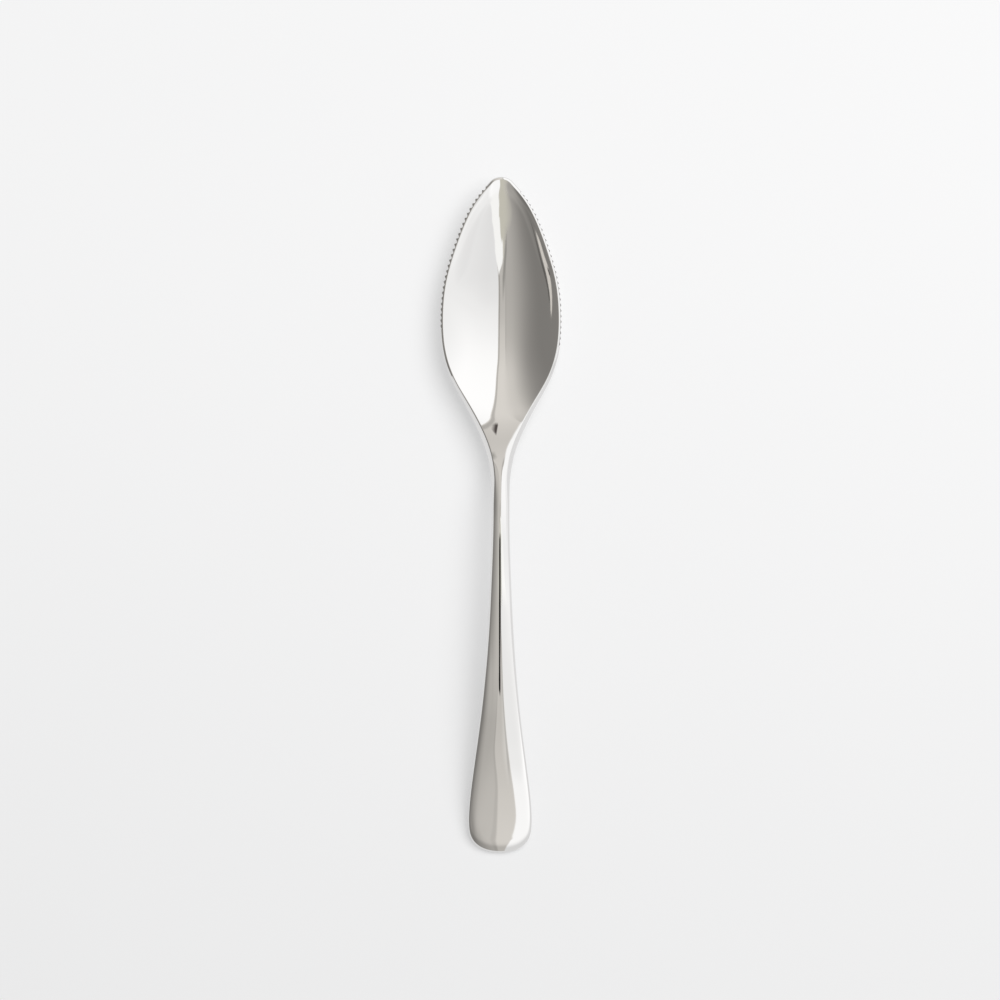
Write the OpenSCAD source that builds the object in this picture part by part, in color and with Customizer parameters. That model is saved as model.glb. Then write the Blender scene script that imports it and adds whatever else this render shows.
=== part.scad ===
// Grapefruit spoon, forged and polished from one piece of stainless steel.
// It lies on its back as on a table: along Y, with the tip of the bowl towards +Y, X across and Z up.
// The origin is under its middle, on the table. All lengths are in millimetres.

/* [Bowl] */
// Length of the bowl, from its tip to where the handle begins
bowl_l = 66; // [56:1:80]
// Width of the bowl where it is widest
bowl_w = 30.4; // [26:0.2:36]
// Depth of the bowl below its rim
bowl_depth = 7.4; // [5:0.1:9]
// How much higher the tip stands than the rim beside the deepest place
tip_lift = 1.2; // [0:0.1:3]
// Wall of the bowl at its deepest place
bowl_wall = 1.3; // [1:0.05:2]
// Wall at the rim, measured upright
rim_wall = 1.6; // [1.3:0.05:2.2]
// Steepness, in degrees, with which the rounded edge leaves the face of the bowl
rim_fall = 35; // [20:1:42]

/* [Serration] */
// Distance from one tooth to the next, along the rim
tooth_pitch = 1.4; // [1.2:0.05:2.5]
// Depth of the hollow between two teeth, near the tip
tooth_depth = 0.48; // [0.3:0.02:0.6]
// Width that is left of the rim at the top of a tooth
tooth_land = 0.2; // [0.1:0.02:0.5]
// Lean of the hollows, whose lower end runs in under the rim
tooth_lean = 10; // [0:1:20]
// Distance from the tip from which the hollows get shallower
tooth_fade_start = 20; // [10:0.5:24]
// Distance from the tip to the first hollow of the left side
left_teeth_start = 2.8; // [1:0.1:8]
// Distance from the tip to the last hollow of the left side
left_teeth_end = 37.6; // [25:0.1:45]
// Distance from the tip to the first hollow of the right side
right_teeth_start = 4.1; // [1:0.1:8]
// Distance from the tip to the last hollow of the right side
right_teeth_end = 42.4; // [25:0.1:45]

/* [Handle] */
// Length of the handle with its neck, from the bowl to the end
handle_l = 104; // [90:1:120]
// Width of the neck where it is narrowest
neck_w = 4.4; // [3.6:0.1:6]
// Thickness of the neck in its middle
neck_t = 3.4; // [3:0.1:4.5]
// Thickness of the neck's rounded sides
neck_edge_t = 2.2; // [1.8:0.1:2.8]
// Width of the handle where it is widest, near its end
end_w = 16; // [12:0.2:20]
// Thickness of the handle's edge at its end
end_edge_t = 1.8; // [1.4:0.05:2.2]
// Height of the arch of the handle above the table
arch_h = 13; // [11:0.1:18]
// Crown of the handle, its middle above its sides at the arch
crown_h = 1.3; // [0.8:0.05:1.6]

/* [Rounded edges] */
// How far the rounding of the edge reaches in along the bowl's teeth, seen from above
edge_round = 0.7; // [0.5:0.05:0.9]
// How far it reaches in at the heel of the bowl and beside the neck
heel_edge_round = 1.25; // [0.9:0.05:1.6]
// How far it reaches in along the broad end of the handle
end_edge_round = 3; // [2:0.1:3.6]

/* [Hidden] */

// Half outline of the bowl: share of its length from the tip, share of its half width
bowl_outline_shares = [
    [0, 0], [0.008, 0.134], [0.025, 0.213], [0.05, 0.312], [0.1, 0.474], [0.18, 0.65], [0.28, 0.81], [0.4, 0.95],
    [0.54, 1], [0.66, 0.96], [0.76, 0.83], [0.85, 0.625], [0.93, 0.442], [1, 0.305]
];
// Half outline of the neck and handle: share of the handle's length, share of the way from neck to end width
handle_outline_shares = [
    [0.06, 0.11], [0.14, 0.005], [0.24, 0.02], [0.38, 0.11], [0.54, 0.28], [0.7, 0.57], [0.82, 0.85], [0.9, 0.99]
];
// Round end of the handle: distance from the end and half width, both as shares of the half end width
end_outline_shares = [[0.8, 0.99], [0.42, 0.89], [0.18, 0.67], [0.05, 0.385], [0, 0]];

// Edge line over the bowl: share of the bowl's length, share of the lift of the tip
bowl_edge_shares = [[0, 1], [0.12, 0.6], [0.27, 0.22], [0.45, 0], [0.64, -0.04], [0.8, 0], [0.91, 0.08]];
// Edge line up to the arch: share of the handle's length, share of the climb from rim to arch
climb_shares = [[0, 0.09], [0.1, 0.34], [0.19, 0.67], [0.3, 0.92], [0.42, 1]];
// Edge line down to the end: share of the handle's length, share of the fall from arch to end
fall_shares = [[0.54, 0.962], [0.655, 0.853], [0.77, 0.64], [0.865, 0.393], [0.94, 0.175], [1, 0]];

// Hollow of the bowl's face below its edge line: share of the bowl's length, share of its depth
dish_shares = [
    [0, 0], [0.06, 0.27], [0.15, 0.53], [0.27, 0.76], [0.42, 0.94], [0.57, 1],
    [0.69, 0.9], [0.77, 0.68], [0.83, 0.43], [0.895, 0.135], [0.95, 0.02]
];
// Crown of the handle's face above its edge line: share of the handle's length, share of the crown
crown_shares = [
    [0, 0], [0.035, 0.05], [0.075, 0.3], [0.145, 0.8], [0.28, 0.96], [0.42, 1],
    [0.615, 0.88], [0.76, 0.7], [0.885, 0.52], [0.95, 0.36], [1, 0]
];
// Roundness of the hollow across the bowl: 1 is a circle, and less is flatter towards the rim
bowl_round_share = 0.1;

// Middle thickness from tip to deepest place: share of the bowl's length, share from bowl to rim wall
tip_wall_shares = [[0, 1], [0.12, 0.3], [0.3, 0], [0.6, 0]];
// Middle thickness under the heel of the bowl: share of the bowl's length, share from bowl wall to neck
heel_wall_shares = [[0.72, 0.08], [0.8, 0.3], [0.88, 0.68], [0.96, 0.95]];
// Middle thickness of the handle: share of the handle's length, share from end edge to neck
handle_wall_shares = [
    [0.04, 1], [0.14, 1], [0.28, 1.01], [0.42, 0.93], [0.615, 0.74], [0.76, 0.56], [0.885, 0.41], [0.95, 0.28], [1, 0]
];
// Edge thickness over the bowl: share of the bowl's length, share from rim wall to neck edge
bowl_rim_shares = [[0, 0], [0.5, 0.02], [0.75, 0.2], [0.9, 0.7]];
// Edge thickness of the handle: share of the handle's length, share from end edge to neck edge
handle_rim_shares = [[0.1, 1], [0.28, 0.8], [0.42, 0.6], [0.615, 0.3], [0.8, 0.08], [1, 0]];

// Fall of the edge over the bowl: share of the bowl's length, share of the fall
rim_fall_shares = [[0, 0.6], [0.06, 0.9], [0.15, 1], [0.5, 1], [0.65, 1.15], [0.78, 1.55], [0.9, 1.75], [1, 1.75]];
// Fall of the edge beside the neck: share of the handle's length, share of the fall
neck_fall_shares = [[0.05, 1.6], [0.11, 1], [0.17, 0.35], [0.22, 0], [1, 0]];
// Reach of the rounding over the bowl: share of the bowl's length, share from the teeth's to the heel's
bowl_reach_shares = [[0, 0], [0.4, 0], [0.7, 0.05], [0.85, 0.5], [0.97, 1]];
// Reach of the rounding beside the neck: share of the handle's length, share from the teeth's to the heel's
neck_reach_shares = [[0.05, 1], [0.13, 0.5], [0.22, 0.15]];
// Reach of the rounding along the handle: share of the handle's length, share from the teeth's to the end's
handle_reach_shares = [[0.35, 0], [0.5, 0.35], [0.65, 0.85], [0.8, 1], [1, 1]];
// Depth of the last hollow of each row, as a share of the depth near the tip
last_tooth_share = 0.6;

// Rings of the skin from the tip to the end
rings = 104;
// Steps of each ring from the middle to the edge, on the face and again on the back
across = 6;
// Steps of each ring round the edge
around = 6;
// Share of the bowl's width by which the first rings fan out at the tip
tip_fan_share = 0.1;
// Share of the handle's end width by which the last rings fan out at the end
end_fan_share = 0.25;
// Passes that settle the curves through their points
passes = 40;
// Facets of a tooth's hollow
hollow_facets = 24;

spoon_l = bowl_l + handle_l;
bowl_r = bowl_w / 2;
neck_r = neck_w / 2;
end_r = end_w / 2;
rim_h = bowl_depth + bowl_wall;
arch_edge_h = arch_h - crown_h;
end_edge_h = end_edge_t;

// Points of a table of shares along the bowl or the handle, at a base value and a span
function along_bowl(shares, base, span) = [for (row = shares) [row[0] * bowl_l, base + row[1] * span]];
function along_handle(shares, base, span) =
    [for (row = shares) [bowl_l + row[0] * handle_l, base + row[1] * span]];

// Bends of a smooth curve at its points, found by passes over the points [place, value]
function settled(p, bends, left) =
    left == 0 ? bends :
    settled(p, [for (i = [0 : len(p) - 1])
        i == 0 || i == len(p) - 1 ? 0 :
        let (before = p[i][0] - p[i - 1][0])
        let (after = p[i + 1][0] - p[i][0])
        let (kink = (p[i + 1][1] - p[i][1]) / after - (p[i][1] - p[i - 1][1]) / before)
        (6 * kink - before * bends[i - 1] - after * bends[i + 1]) / (2 * (before + after))
    ], left - 1);
function curve(p) = [p, settled(p, [for (point = p) 0], passes)];

// Span of a curve that holds a place
function span_at(p, place, i = 0) = i >= len(p) - 2 || place <= p[i + 1][0] ? i : span_at(p, place, i + 1);

// Value and slope of a curve at a place
function value(c, place) =
    let (i = span_at(c[0], place))
    let (from = c[0][i])
    let (to = c[0][i + 1])
    let (span = to[0] - from[0])
    let (b = (place - from[0]) / span)
    let (a = 1 - b)
    a * from[1] + b * to[1] + ((a ^ 3 - a) * c[1][i] + (b ^ 3 - b) * c[1][i + 1]) * span ^ 2 / 6;
function slope(c, place) =
    let (i = span_at(c[0], place))
    let (from = c[0][i])
    let (to = c[0][i + 1])
    let (span = to[0] - from[0])
    let (b = (place - from[0]) / span)
    let (a = 1 - b)
    (to[1] - from[1]) / span + ((3 * b ^ 2 - 1) * c[1][i + 1] - (3 * a ^ 2 - 1) * c[1][i]) * span / 6;

// The outline is drawn through the squares of its half widths, which makes both its ends round
outline_squares = curve([for (point = concat(
    along_bowl(bowl_outline_shares, 0, bowl_r),
    along_handle(handle_outline_shares, neck_r, end_r - neck_r),
    [for (row = end_outline_shares) [spoon_l - row[0] * end_r, row[1] * end_r]]
)) [point[0], point[1] ^ 2]]);
edge_line = curve(concat(
    along_bowl(bowl_edge_shares, rim_h, tip_lift),
    along_handle(climb_shares, rim_h, arch_edge_h - rim_h),
    along_handle(fall_shares, end_edge_h, arch_edge_h - end_edge_h)
));
dish_line = curve(concat(
    along_bowl(dish_shares, 0, bowl_depth),
    along_handle(crown_shares, 0, -crown_h)
));
middle_wall = curve(concat(
    along_bowl(tip_wall_shares, bowl_wall, rim_wall - bowl_wall),
    along_bowl(heel_wall_shares, bowl_wall, neck_t - bowl_wall),
    along_handle(handle_wall_shares, end_edge_t, neck_t - end_edge_t)
));
edge_wall = curve(concat(
    along_bowl(bowl_rim_shares, rim_wall, neck_edge_t - rim_wall),
    along_handle(handle_rim_shares, end_edge_t, neck_edge_t - end_edge_t)
));
edge_fall = curve(concat(
    along_bowl(rim_fall_shares, 0, tan(rim_fall)),
    along_handle(neck_fall_shares, 0, tan(rim_fall))
));
edge_reach = curve(concat(
    along_bowl(bowl_reach_shares, edge_round, heel_edge_round - edge_round),
    along_handle(neck_reach_shares, edge_round, heel_edge_round - edge_round),
    along_handle(handle_reach_shares, edge_round, end_edge_round - edge_round)
));

// Half width at a distance s from the tip
function half_width(s) = sqrt(max(0, value(outline_squares, s)));

// Rise of an arc at x, which climbs by the given rise over its half width: round on the handle, where it falls,
// and flatter towards the rim in the bowl
function arc_rise(x, half, rise) =
    let (roundness = rise > 0 ? bowl_round_share : 1)
    let (bend = 2 * rise / (half ^ 2 + roundness * rise ^ 2))
    bend * x ^ 2 / (1 + sqrt(max(0, 1 - roundness * (bend * x) ^ 2)));

// Height of the face and of the back at a distance s from the tip and x from the middle
function face_z(s, x) = value(edge_line, s) - value(dish_line, s) + arc_rise(x, half_width(s), value(dish_line, s));
function back_z(s, x) =
    let (hang = value(dish_line, s) + value(middle_wall, s) - value(edge_wall, s))
    value(edge_line, s) - value(edge_wall, s) - hang + arc_rise(x, half_width(s), hang);

// Direction [s, x] in which the outline faces at a distance s from the tip
function facing(s) =
    let (across_outline = [-slope(outline_squares, s) / 2, half_width(s)])
    across_outline / norm(across_outline);

// Place on the middle line from which the ring that ends at s on the outline starts
function ring_start(s) =
    s + tip_fan_share * bowl_w * max(0, 1 - s / bowl_l) ^ 4
      - end_fan_share * end_w * max(0, (s - bowl_l) / handle_l) ^ 4;

// Heights of the four control points of the rounded edge at s: face, above, below and back
function edge_heights(s) =
    let (reach = value(edge_reach, s))
    let (inner = [s, half_width(s)] - reach * facing(s))
    let (before = inner - reach * facing(s))
    let (top = face_z(inner[0], inner[1]))
    let (bottom = back_z(inner[0], inner[1]))
    let (least_run = max(0, value(edge_fall, s)) * reach)
    let (top_run = min(-least_run, top - face_z(before[0], before[1])))
    let (bottom_run = bottom - back_z(before[0], before[1]))
    [top, top + top_run * 4 / 3, bottom + bottom_run * 4 / 3, bottom];

// Half of the ring that ends at s: along the face, round the edge and along the back, as points [s, x, z]
function half_ring(s) =
    let (reach = value(edge_reach, s))
    let (inner = [s, half_width(s)] - reach * facing(s))
    let (start = [ring_start(s), 0])
    let (h = edge_heights(s))
    concat(
        [for (i = [0 : across]) let (p = start + (inner - start) * i / across) [p[0], p[1], face_z(p[0], p[1])]],
        [for (i = [1 : around - 1])
            let (t = i / around)
            let (p = inner + 4 * t * (1 - t) * reach * facing(s))
            [p[0], p[1], (1 - t) ^ 3 * h[0] + 3 * t * (1 - t) ^ 2 * h[1] + 3 * t ^ 2 * (1 - t) * h[2] + t ^ 3 * h[3]]],
        [for (i = [across : -1 : 0]) let (p = start + (inner - start) * i / across) [p[0], p[1], back_z(p[0], p[1])]]
    );

// The skin: rings close together at both ends, where the first and the last are folded onto the middle line
half_rings = [for (i = [0 : rings]) half_ring(spoon_l * (1 - cos(180 * i / rings)) / 2)];
half_count = 2 * across + around;
ring_count = 2 * half_count;
lowest = min([for (ring = half_rings) for (p = ring) p[2]]);
function placed(p, side) = [side * p[1], spoon_l / 2 - p[0], p[2] - lowest];
skin_points = [for (ring = half_rings) each concat(
    [for (j = [0 : half_count]) placed(ring[j], 1)],
    [for (j = [half_count - 1 : -1 : 1]) placed(ring[j], -1)]
)];
function skin_index(i, j) =
    (i == 0 || i == rings) && j > half_count ? i * ring_count + ring_count - j : i * ring_count + j % ring_count;
skin_faces = [for (i = [0 : rings - 1]) for (j = [0 : ring_count - 1]) each [
    [skin_index(i, j), skin_index(i + 1, j + 1), skin_index(i, j + 1)],
    [skin_index(i, j), skin_index(i + 1, j), skin_index(i + 1, j + 1)]
]];

// Distances from the tip at which the hollows lie one pitch apart along the rim
function tooth_places(s, last) =
    s > last ? [] :
    concat([s], tooth_places(s + tooth_pitch * facing(s)[1], last));

// Depth of the hollow at a distance s from the tip, in a row whose last hollow is at the given distance
function hollow_depth(s, last) =
    let (faded = max(0, (s - tooth_fade_start) / (last - tooth_fade_start)))
    tooth_depth * (1 - (1 - last_tooth_share) * faded);

// One hollow between two teeth: a round cut that leaves the inner line of the rim whole
module tooth_hollow(s, side, depth) {
    chord = tooth_pitch - tooth_land;
    hollow_r = (chord ^ 2 / 4 + depth ^ 2) / (2 * depth);
    h = edge_heights(s);
    z = (h[0] + 3 * h[1] + 3 * h[2] + h[3]) / 8;
    out = facing(s);
    translate(placed([s, half_width(s), z], side))
        rotate([0, 0, atan2(-out[0], side * out[1])])
        rotate([0, tooth_lean, 0])
        translate([hollow_r - depth, 0, 0])
        cylinder(r = hollow_r, h = 3 * rim_wall, center = true, $fn = hollow_facets);
}

// The whole spoon, with the teeth cut into both sides of the rim
module spoon() {
    color([0.78, 0.77, 0.75])
    difference() {
        polyhedron(points = skin_points, faces = skin_faces, convexity = 4);
        for (s = tooth_places(left_teeth_start, left_teeth_end))
            tooth_hollow(s, -1, hollow_depth(s, left_teeth_end));
        for (s = tooth_places(right_teeth_start, right_teeth_end))
            tooth_hollow(s, 1, hollow_depth(s, right_teeth_end));
    }
}

spoon();
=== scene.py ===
"""Looks of the grapefruit spoon: polished steel on a pale table, seen from straight above."""
import sys
import logging
import math
from dataclasses import dataclass
from enum import Enum

import bpy
import numpy as np
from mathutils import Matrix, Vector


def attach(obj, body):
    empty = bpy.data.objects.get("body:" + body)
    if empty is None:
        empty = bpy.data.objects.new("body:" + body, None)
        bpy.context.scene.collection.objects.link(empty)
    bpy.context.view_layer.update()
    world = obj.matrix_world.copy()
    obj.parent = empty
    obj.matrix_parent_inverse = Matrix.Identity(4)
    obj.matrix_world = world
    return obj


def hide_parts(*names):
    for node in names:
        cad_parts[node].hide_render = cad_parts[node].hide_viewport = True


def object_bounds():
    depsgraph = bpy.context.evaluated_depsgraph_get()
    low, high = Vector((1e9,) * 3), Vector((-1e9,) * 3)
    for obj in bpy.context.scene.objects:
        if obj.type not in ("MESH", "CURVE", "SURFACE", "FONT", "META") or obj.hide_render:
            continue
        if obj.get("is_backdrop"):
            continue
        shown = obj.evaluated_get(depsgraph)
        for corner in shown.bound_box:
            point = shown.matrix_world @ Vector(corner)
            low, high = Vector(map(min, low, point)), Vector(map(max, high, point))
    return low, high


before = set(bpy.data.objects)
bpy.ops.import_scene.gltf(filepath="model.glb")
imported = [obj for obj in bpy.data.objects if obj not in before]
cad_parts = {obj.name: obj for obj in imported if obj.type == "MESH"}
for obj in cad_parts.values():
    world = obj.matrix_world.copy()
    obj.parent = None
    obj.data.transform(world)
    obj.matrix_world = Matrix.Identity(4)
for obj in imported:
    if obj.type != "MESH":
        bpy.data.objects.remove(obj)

LOG = logging.getLogger("grapefruit_spoon")
MM = 0.001
# Keeps a division away from zero.
TINY = 1e-9
# How much further out than a round edge its two outer control points stand.
ARC_REACH = 4 / 3
# Count of hollows where a side of the rim has none.
NO_TOOTH = -9.0

Shares = tuple[tuple[float, float], ...]
Points = list[tuple[float, float]]
Rgb = tuple[float, float, float]
Spot = tuple[float, float, float]
Socket = bpy.types.NodeSocket
Piece = bpy.types.Object
Material = bpy.types.Material
Array = np.ndarray


def put(name: str, data: bpy.types.ID) -> Piece:
    """Puts a new object into the scene.

    Args:
        name: name of the object.
        data: its mesh, lamp or camera.

    Returns:
        The object.
    """
    made = bpy.data.objects.new(name, data)
    bpy.context.scene.collection.objects.link(made)
    return made


class Side(Enum):
    """The two long sides of the spoon, seen from above with the tip away from the viewer."""

    LEFT = -1
    RIGHT = 1


@dataclass(frozen=True)
class SmoothCurve:
    """A curve without kinks through a few points, straight at both ends."""

    places: Array
    values: Array
    bends: Array

    @classmethod
    def through(cls, points: Points) -> "SmoothCurve":
        """Draws the curve through its points.

        Args:
            points: place along the spoon and value there, in rising order of place.

        Returns:
            The curve, with its bend at each point.
        """
        places, values = np.array(points, float).T
        spans = np.diff(places)
        kinks = np.diff(np.diff(values) / spans)
        table = np.eye(len(places))
        wanted = np.zeros(len(places))
        for i in range(1, len(places) - 1):
            table[i, i - 1:i + 2] = spans[i - 1], 2 * (spans[i - 1] + spans[i]), spans[i]
            wanted[i] = 6 * kinks[i - 1]
        return cls(places, values, np.linalg.solve(table, wanted))

    def read(self, place: Array) -> tuple[Array, Array]:
        """Reads the curve and its slope.

        Args:
            place: places along the spoon.

        Returns:
            The value and the slope at each place.
        """
        i = np.clip(np.searchsorted(self.places, place) - 1, 0, len(self.places) - 2)
        span = self.places[i + 1] - self.places[i]
        b = (place - self.places[i]) / span
        a = 1 - b
        first, last = self.bends[i], self.bends[i + 1]
        bent = (a ** 3 - a) * first + (b ** 3 - b) * last
        turned = (3 * b ** 2 - 1) * last - (3 * a ** 2 - 1) * first
        value = a * self.values[i] + b * self.values[i + 1] + bent * span ** 2 / 6
        return value, (self.values[i + 1] - self.values[i]) / span + turned * span / 6

    def value(self, place: Array) -> Array:
        """Value of the curve at each place."""
        return self.read(place)[0]


@dataclass(frozen=True)
class SpoonForm:
    """The shape of the forged spoon. Lengths are in millimetres, s is the distance from the tip."""

    bowl_l: float = 66.0
    bowl_w: float = 30.4
    bowl_depth: float = 7.4
    tip_lift: float = 1.2
    bowl_wall: float = 1.3
    rim_wall: float = 1.6
    handle_l: float = 104.0
    neck_w: float = 4.4
    neck_t: float = 3.4
    neck_edge_t: float = 2.2
    end_w: float = 16.0
    end_edge_t: float = 1.8
    arch_h: float = 13.0
    crown_h: float = 1.3
    edge_round: float = 0.7
    heel_edge_round: float = 1.25
    end_edge_round: float = 3.0
    rim_fall: float = 35.0
    bowl_round_share: float = 0.1
    tip_fan_share: float = 0.1
    end_fan_share: float = 0.25
    fan_power: int = 4
    bowl_outline_shares: Shares = (
        (0, 0), (0.008, 0.134), (0.025, 0.213), (0.05, 0.312), (0.1, 0.474), (0.18, 0.65), (0.28, 0.81), (0.4, 0.95),
        (0.54, 1), (0.66, 0.96), (0.76, 0.83), (0.85, 0.625), (0.93, 0.442), (1, 0.305),
    )
    handle_outline_shares: Shares = (
        (0.06, 0.11), (0.14, 0.005), (0.24, 0.02), (0.38, 0.11), (0.54, 0.28), (0.7, 0.57), (0.82, 0.85), (0.9, 0.99),
    )
    end_outline_shares: Shares = ((0.8, 0.99), (0.42, 0.89), (0.18, 0.67), (0.05, 0.385), (0, 0))
    bowl_edge_shares: Shares = ((0, 1), (0.12, 0.6), (0.27, 0.22), (0.45, 0), (0.64, -0.04), (0.8, 0), (0.91, 0.08))
    climb_shares: Shares = ((0, 0.09), (0.1, 0.34), (0.19, 0.67), (0.3, 0.92), (0.42, 1))
    fall_shares: Shares = ((0.54, 0.962), (0.655, 0.853), (0.77, 0.64), (0.865, 0.393), (0.94, 0.175), (1, 0))
    dish_shares: Shares = (
        (0, 0), (0.06, 0.27), (0.15, 0.53), (0.27, 0.76), (0.42, 0.94), (0.57, 1), (0.69, 0.9), (0.77, 0.68),
        (0.83, 0.43), (0.895, 0.135), (0.95, 0.02),
    )
    crown_shares: Shares = (
        (0, 0), (0.035, 0.05), (0.075, 0.3), (0.145, 0.8), (0.28, 0.96), (0.42, 1), (0.615, 0.88), (0.76, 0.7),
        (0.885, 0.52), (0.95, 0.36), (1, 0),
    )
    tip_wall_shares: Shares = ((0, 1), (0.12, 0.3), (0.3, 0), (0.6, 0))
    heel_wall_shares: Shares = ((0.72, 0.08), (0.8, 0.3), (0.88, 0.68), (0.96, 0.95))
    handle_wall_shares: Shares = (
        (0.04, 1), (0.14, 1), (0.28, 1.01), (0.42, 0.93), (0.615, 0.74), (0.76, 0.56), (0.885, 0.41), (0.95, 0.28),
        (1, 0),
    )
    bowl_rim_shares: Shares = ((0, 0), (0.5, 0.02), (0.75, 0.2), (0.9, 0.7))
    rim_fall_shares: Shares = (
        (0, 0.6), (0.06, 0.9), (0.15, 1), (0.5, 1), (0.65, 1.15), (0.78, 1.55), (0.9, 1.75), (1, 1.75),
    )
    neck_fall_shares: Shares = ((0.05, 1.6), (0.11, 1), (0.17, 0.35), (0.22, 0), (1, 0))
    bowl_round_shares: Shares = ((0, 0), (0.4, 0), (0.7, 0.05), (0.85, 0.5), (0.97, 1))
    neck_round_shares: Shares = ((0.05, 1), (0.13, 0.5), (0.22, 0.15))
    handle_round_shares: Shares = ((0.35, 0), (0.5, 0.35), (0.65, 0.85), (0.8, 1), (1, 1))
    handle_rim_shares: Shares = ((0.1, 1), (0.28, 0.8), (0.42, 0.6), (0.615, 0.3), (0.8, 0.08), (1, 0))

    def __post_init__(self) -> None:
        """Draws the curves that the surface follows."""
        rim_h = self.bowl_depth + self.bowl_wall
        arch_edge_h = self.arch_h - self.crown_h
        end_r = self.end_w / 2
        outline = [
            *self._along_bowl(self.bowl_outline_shares, 0, self.bowl_w / 2),
            *self._along_handle(self.handle_outline_shares, self.neck_w / 2, end_r - self.neck_w / 2),
            *[(self.length - place * end_r, share * end_r) for place, share in self.end_outline_shares],
        ]
        bowl, handle = self._along_bowl, self._along_handle
        fall = math.tan(math.radians(self.rim_fall))
        more_heel, more_end = self.heel_edge_round - self.edge_round, self.end_edge_round - self.edge_round
        curves = {
            "outline_squares": [(place, half ** 2) for place, half in outline],
            "edge_line": [
                *bowl(self.bowl_edge_shares, rim_h, self.tip_lift),
                *handle(self.climb_shares, rim_h, arch_edge_h - rim_h),
                *handle(self.fall_shares, self.end_edge_t, arch_edge_h - self.end_edge_t),
            ],
            "dish_line": [*bowl(self.dish_shares, 0, self.bowl_depth), *handle(self.crown_shares, 0, -self.crown_h)],
            "middle_wall": [
                *bowl(self.tip_wall_shares, self.bowl_wall, self.rim_wall - self.bowl_wall),
                *bowl(self.heel_wall_shares, self.bowl_wall, self.neck_t - self.bowl_wall),
                *handle(self.handle_wall_shares, self.end_edge_t, self.neck_t - self.end_edge_t),
            ],
            "edge_wall": [
                *bowl(self.bowl_rim_shares, self.rim_wall, self.neck_edge_t - self.rim_wall),
                *handle(self.handle_rim_shares, self.end_edge_t, self.neck_edge_t - self.end_edge_t),
            ],
            "edge_fall": [*bowl(self.rim_fall_shares, 0, fall), *handle(self.neck_fall_shares, 0, fall)],
            "edge_reach": [
                *bowl(self.bowl_round_shares, self.edge_round, more_heel),
                *handle(self.neck_round_shares, self.edge_round, more_heel),
                *handle(self.handle_round_shares, self.edge_round, more_end),
            ],
        }
        for name, points in curves.items():
            object.__setattr__(self, name, SmoothCurve.through(points))

    @property
    def length(self) -> float:
        """Whole length of the spoon."""
        return self.bowl_l + self.handle_l

    def _along_bowl(self, shares: Shares, base: float, span: float) -> Points:
        """Places shares along the bowl, on a base value with a span."""
        return [(place * self.bowl_l, base + share * span) for place, share in shares]

    def _along_handle(self, shares: Shares, base: float, span: float) -> Points:
        """Places shares along the handle, on a base value with a span."""
        return [(self.bowl_l + place * self.handle_l, base + share * span) for place, share in shares]

    def half_width(self, s: Array) -> Array:
        """Half width of the outline at s."""
        return np.sqrt(np.maximum(0, self.outline_squares.value(s)))

    def facing(self, s: Array) -> Array:
        """Directions in which the outline faces at s: unit vectors [along s, away from the middle line]."""
        out = np.stack([-self.outline_squares.read(s)[1] / 2, self.half_width(s)], -1)
        return out / np.linalg.norm(out, axis=-1, keepdims=True)

    def _arc_rise(self, x: Array, half: Array, rise: Array) -> Array:
        """Rise at x of an arc across the spoon: round on the handle, flatter towards the rim in the bowl.

        Args:
            x: distance from the middle line.
            half: half width of the arc.
            rise: how far the arc climbs over that half width.

        Returns:
            The height above the middle.
        """
        roundness = np.where(rise > 0, self.bowl_round_share, 1.0)
        bend = 2 * rise / np.maximum(half ** 2 + roundness * rise ** 2, TINY)
        return bend * x ** 2 / (1 + np.sqrt(np.maximum(0, 1 - roundness * (bend * x) ** 2)))

    def face_z(self, s: Array, x: Array) -> Array:
        """Height of the upper face at s and x."""
        dish = self.dish_line.value(s)
        return self.edge_line.value(s) - dish + self._arc_rise(x, self.half_width(s), dish)

    def back_z(self, s: Array, x: Array) -> Array:
        """Height of the back at s and x."""
        hang = self.dish_line.value(s) + self.middle_wall.value(s) - self.edge_wall.value(s)
        return self.edge_line.value(s) - self.edge_wall.value(s) - hang + self._arc_rise(x, self.half_width(s), hang)

    def ring_start(self, s: Array) -> Array:
        """Place on the middle line where a ring that ends at s starts; rings fan out at the tip and at the end."""
        to_tip, to_end = np.maximum(0, (1 - s / self.bowl_l, (s - self.bowl_l) / self.handle_l)) ** self.fan_power
        return s + self.tip_fan_share * self.bowl_w * to_tip - self.end_fan_share * self.end_w * to_end

    def edge_heights(self, s: Array) -> tuple[Array, ...]:
        """Heights of the four control points of the rounded edge.

        Args:
            s: distances from the tip.

        Returns:
            Heights at the face, above, below and at the back.
        """
        reach = self.edge_reach.value(s)
        step = reach * self.facing(s).T
        inner = np.stack([s, self.half_width(s)]) - step
        top, bottom = self.face_z(*inner), self.back_z(*inner)
        fall = np.maximum(0, self.edge_fall.value(s)) * reach
        top_run = np.minimum(-fall, top - self.face_z(*(inner - step)))
        bottom_run = bottom - self.back_z(*(inner - step))
        return top, top + ARC_REACH * top_run, bottom + ARC_REACH * bottom_run, bottom


@dataclass(frozen=True)
class SoftStep:
    """A soft change from one level to another, while the value that is read crosses a stretch."""

    start: float
    end: float
    low: float = 0.0
    high: float = 1.0


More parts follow.
